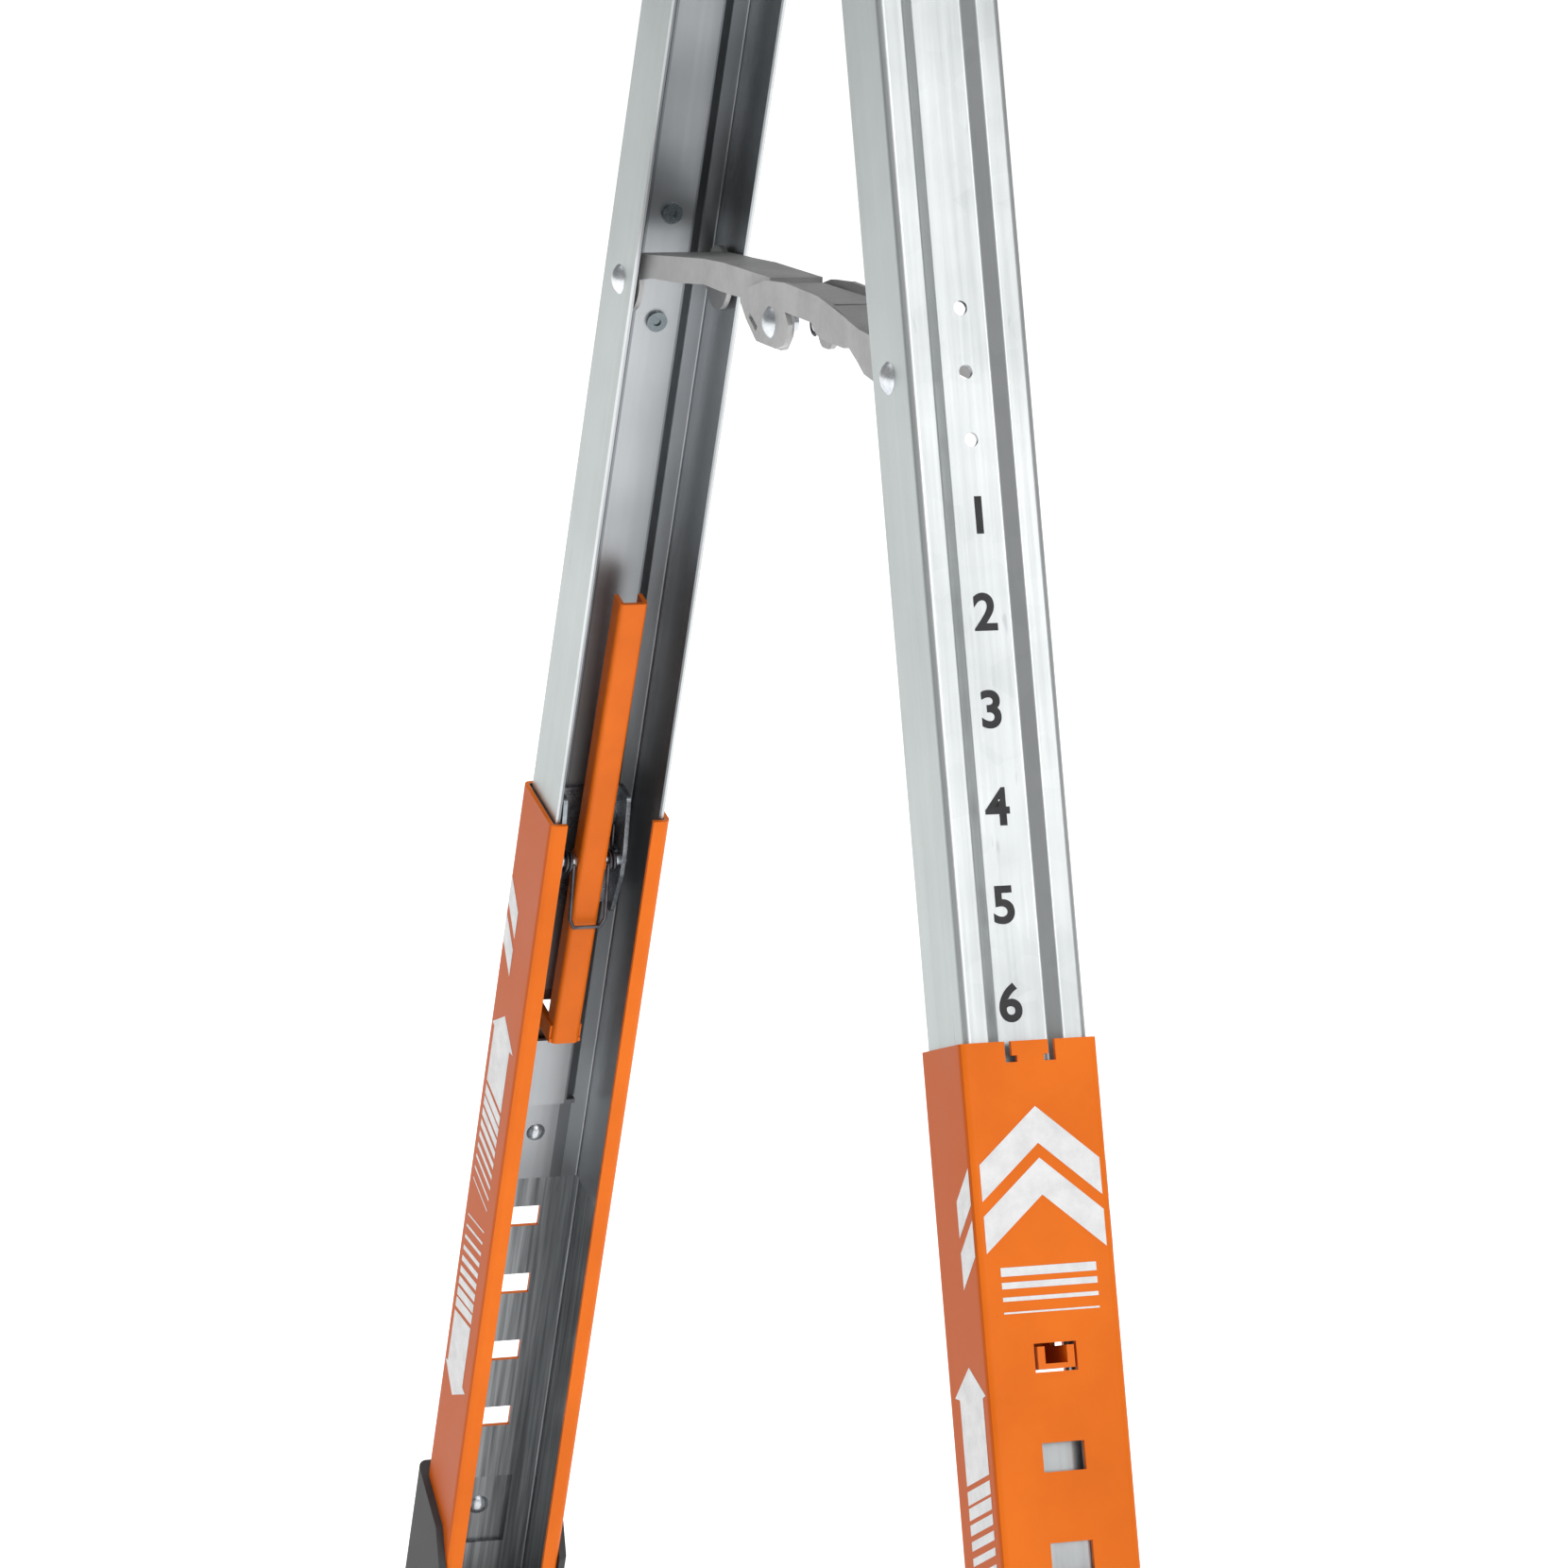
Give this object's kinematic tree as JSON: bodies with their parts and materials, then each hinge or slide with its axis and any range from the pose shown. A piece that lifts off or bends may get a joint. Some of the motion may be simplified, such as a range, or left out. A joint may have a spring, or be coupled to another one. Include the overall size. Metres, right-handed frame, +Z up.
{
  "type": "folding sawhorse",
  "caption": "Folding steel sawhorse with telescoping channel legs, sprung height latches, folding knuckle braces and rubber feet.",
  "frame": {"origin": "on the floor, under the middle of the beam", "axes": "+X along the beam towards the front pair of legs, +Y across it, +Z up"},
  "size_m": [1.1126, 0.594, 0.914],
  "materials": {
    "galvanised_beam": "spangled zinc",
    "galvanised_leg": "spangled zinc",
    "orange_paint": "satin powder coat",
    "orange_lever": "satin powder coat",
    "grey_brace": "satin",
    "black_bracket": "satin powder coat",
    "zinc_hardware": "bright zinc",
    "spring_steel": "oiled",
    "black_plastic": "moulded",
    "black_rubber": "moulded"
  },
  "bodies": {
    "beam": {"beam_rail": "galvanised_beam", "end_cap_front": "black_plastic", "end_cap_rear": "black_plastic", "fold_pins": "zinc_hardware", "fold_washers": "black_plastic", "lock_barrels": "zinc_hardware"},
    "front_yoke": {"front_yoke": "black_bracket", "front_leg_bolts": "zinc_hardware"},
    "front_lock": {"front_lock_plunger": "black_plastic"},
    "front_right_leg": {"front_right_leg": "galvanised_leg", "front_right_leg_rivets": "zinc_hardware", "front_right_latch_bracket": "zinc_hardware", "front_right_latch_pin": "zinc_hardware"},
    "front_right_latch": {"front_right_latch_lever": "orange_lever", "front_right_latch_spring": "spring_steel"},
    "front_right_sleeve": {"front_right_sleeve": "orange_paint", "front_right_foot": "black_rubber", "front_right_foot_rivet": "zinc_hardware"},
    "front_brace_outer": {"front_brace_outer_link": "grey_brace", "front_brace_rivet_heads": "zinc_hardware"},
    "front_left_leg": {"front_left_leg": "galvanised_leg", "front_left_leg_rivets": "zinc_hardware", "front_left_latch_bracket": "zinc_hardware", "front_left_latch_pin": "zinc_hardware"},
    "front_left_latch": {"front_left_latch_lever": "orange_lever", "front_left_latch_spring": "spring_steel"},
    "front_left_sleeve": {"front_left_sleeve": "orange_paint", "front_left_foot": "black_rubber", "front_left_foot_rivet": "zinc_hardware"},
    "front_brace_inner": {"front_brace_inner_link": "grey_brace", "front_brace_knuckle_studs": "zinc_hardware", "front_brace_spring": "spring_steel"},
    "rear_yoke": {"rear_yoke": "black_bracket", "rear_leg_bolts": "zinc_hardware"},
    "rear_lock": {"rear_lock_plunger": "black_plastic"},
    "rear_left_leg": {"rear_left_leg": "galvanised_leg", "rear_left_leg_rivets": "zinc_hardware", "rear_left_latch_bracket": "zinc_hardware", "rear_left_latch_pin": "zinc_hardware"},
    "rear_left_latch": {"rear_left_latch_lever": "orange_lever", "rear_left_latch_spring": "spring_steel"},
    "rear_left_sleeve": {"rear_left_sleeve": "orange_paint", "rear_left_foot": "black_rubber", "rear_left_foot_rivet": "zinc_hardware"},
    "rear_brace_outer": {"rear_brace_outer_link": "grey_brace", "rear_brace_rivet_heads": "zinc_hardware"},
    "rear_right_leg": {"rear_right_leg": "galvanised_leg", "rear_right_leg_rivets": "zinc_hardware", "rear_right_latch_bracket": "zinc_hardware", "rear_right_latch_pin": "zinc_hardware"},
    "rear_right_latch": {"rear_right_latch_lever": "orange_lever", "rear_right_latch_spring": "spring_steel"},
    "rear_right_sleeve": {"rear_right_sleeve": "orange_paint", "rear_right_foot": "black_rubber", "rear_right_foot_rivet": "zinc_hardware"},
    "rear_brace_inner": {"rear_brace_inner_link": "grey_brace", "rear_brace_knuckle_studs": "zinc_hardware", "rear_brace_spring": "spring_steel"}
  },
  "joints": [
    {"name": "front_fold", "type": "hinge", "parent": "beam", "child": "front_yoke", "pos_m": [0.505, 0, 0.862], "axis": [0, 1, 0], "range_deg": [0, 91.9]},
    {"name": "front_lock_pull", "type": "slide", "parent": "beam", "child": "front_lock", "axis": [0, 1, 0], "range_m": [0, 0.008], "stiffness_N_per_m": 600, "springref_m": -0.004},
    {"name": "front_right_spread", "type": "hinge", "parent": "front_yoke", "child": "front_right_leg", "pos_m": [0.50709, 0.014, 0.79904], "axis": [-0.9995, 0, -0.0332], "range_deg": [0, 18.04]},
    {"name": "front_right_extend", "type": "slide", "parent": "front_right_leg", "child": "front_right_sleeve", "axis": [-0.0315, -0.3095, 0.9504], "range_m": [0, 0.1608]},
    {"name": "front_right_latch", "type": "hinge", "parent": "front_right_leg", "child": "front_right_latch", "pos_m": [0.52346, 0.17676, 0.30552], "axis": [-0.9995, 0, -0.0332], "range_deg": [0, 4], "stiffness_Nm_per_rad": 0.8, "springref_deg": -6.88},
    {"name": "front_brace_outer", "type": "hinge", "parent": "front_right_leg", "child": "front_brace_outer", "pos_m": [0.51696, 0.11091, 0.50146], "axis": [-0.9995, 0, -0.0332], "range_deg": [0, 64.21]},
    {"name": "front_left_spread", "type": "hinge", "parent": "front_yoke", "child": "front_left_leg", "pos_m": [0.50709, -0.014, 0.79904], "axis": [0.9995, 0, 0.0332], "range_deg": [0, 18.04]},
    {"name": "front_left_extend", "type": "slide", "parent": "front_left_leg", "child": "front_left_sleeve", "axis": [-0.0315, 0.3095, 0.9504], "range_m": [0, 0.1608]},
    {"name": "front_left_latch", "type": "hinge", "parent": "front_left_leg", "child": "front_left_latch", "pos_m": [0.52346, -0.17676, 0.30552], "axis": [0.9995, 0, 0.0332], "range_deg": [0, 4], "stiffness_Nm_per_rad": 0.8, "springref_deg": -6.88},
    {"name": "front_brace_inner", "type": "hinge", "parent": "front_left_leg", "child": "front_brace_inner", "pos_m": [0.51696, -0.11091, 0.50146], "axis": [0.9995, 0, 0.0332], "range_deg": [0, 64.21]},
    {"name": "rear_fold", "type": "hinge", "parent": "beam", "child": "rear_yoke", "pos_m": [-0.455, 0, 0.862], "axis": [0, -1, 0], "range_deg": [0, 91.9]},
    {"name": "rear_lock_pull", "type": "slide", "parent": "beam", "child": "rear_lock", "axis": [0, -1, 0], "range_m": [0, 0.008], "stiffness_N_per_m": 600, "springref_m": -0.004},
    {"name": "rear_left_spread", "type": "hinge", "parent": "rear_yoke", "child": "rear_left_leg", "pos_m": [-0.50706, -0.014, 0.80069], "axis": [0.9995, 0, -0.0332], "range_deg": [0, 18.04]},
    {"name": "rear_left_extend", "type": "slide", "parent": "rear_left_leg", "child": "rear_left_sleeve", "axis": [0.0315, 0.3095, 0.9504], "range_m": [0, 0.1608]},
    {"name": "rear_left_latch", "type": "hinge", "parent": "rear_left_leg", "child": "rear_left_latch", "pos_m": [-0.52343, -0.17676, 0.30718], "axis": [0.9995, 0, -0.0332], "range_deg": [0, 4], "stiffness_Nm_per_rad": 0.8, "springref_deg": -6.88},
    {"name": "rear_brace_outer", "type": "hinge", "parent": "rear_left_leg", "child": "rear_brace_outer", "pos_m": [-0.51693, -0.11091, 0.50312], "axis": [0.9995, 0, -0.0332], "range_deg": [0, 64.21]},
    {"name": "rear_right_spread", "type": "hinge", "parent": "rear_yoke", "child": "rear_right_leg", "pos_m": [-0.50706, 0.014, 0.80069], "axis": [-0.9995, 0, 0.0332], "range_deg": [0, 18.04]},
    {"name": "rear_right_extend", "type": "slide", "parent": "rear_right_leg", "child": "rear_right_sleeve", "axis": [0.0315, -0.3095, 0.9504], "range_m": [0, 0.1608]},
    {"name": "rear_right_latch", "type": "hinge", "parent": "rear_right_leg", "child": "rear_right_latch", "pos_m": [-0.52343, 0.17676, 0.30718], "axis": [-0.9995, 0, 0.0332], "range_deg": [0, 4], "stiffness_Nm_per_rad": 0.8, "springref_deg": -6.88},
    {"name": "rear_brace_inner", "type": "hinge", "parent": "rear_right_leg", "child": "rear_brace_inner", "pos_m": [-0.51693, 0.11091, 0.50312], "axis": [-0.9995, 0, 0.0332], "range_deg": [0, 64.21]}
  ],
  "couplings": [
    {"joint": "front_right_spread", "follows": "front_fold", "ratio": 0.19619},
    {"joint": "front_brace_outer", "follows": "front_fold", "ratio": 0.69861},
    {"joint": "front_left_spread", "follows": "front_fold", "ratio": 0.19619},
    {"joint": "front_brace_inner", "follows": "front_fold", "ratio": 0.69861},
    {"joint": "rear_left_spread", "follows": "rear_fold", "ratio": 0.19619},
    {"joint": "rear_brace_outer", "follows": "rear_fold", "ratio": 0.69861},
    {"joint": "rear_right_spread", "follows": "rear_fold", "ratio": 0.19619},
    {"joint": "rear_brace_inner", "follows": "rear_fold", "ratio": 0.69861}
  ]
}
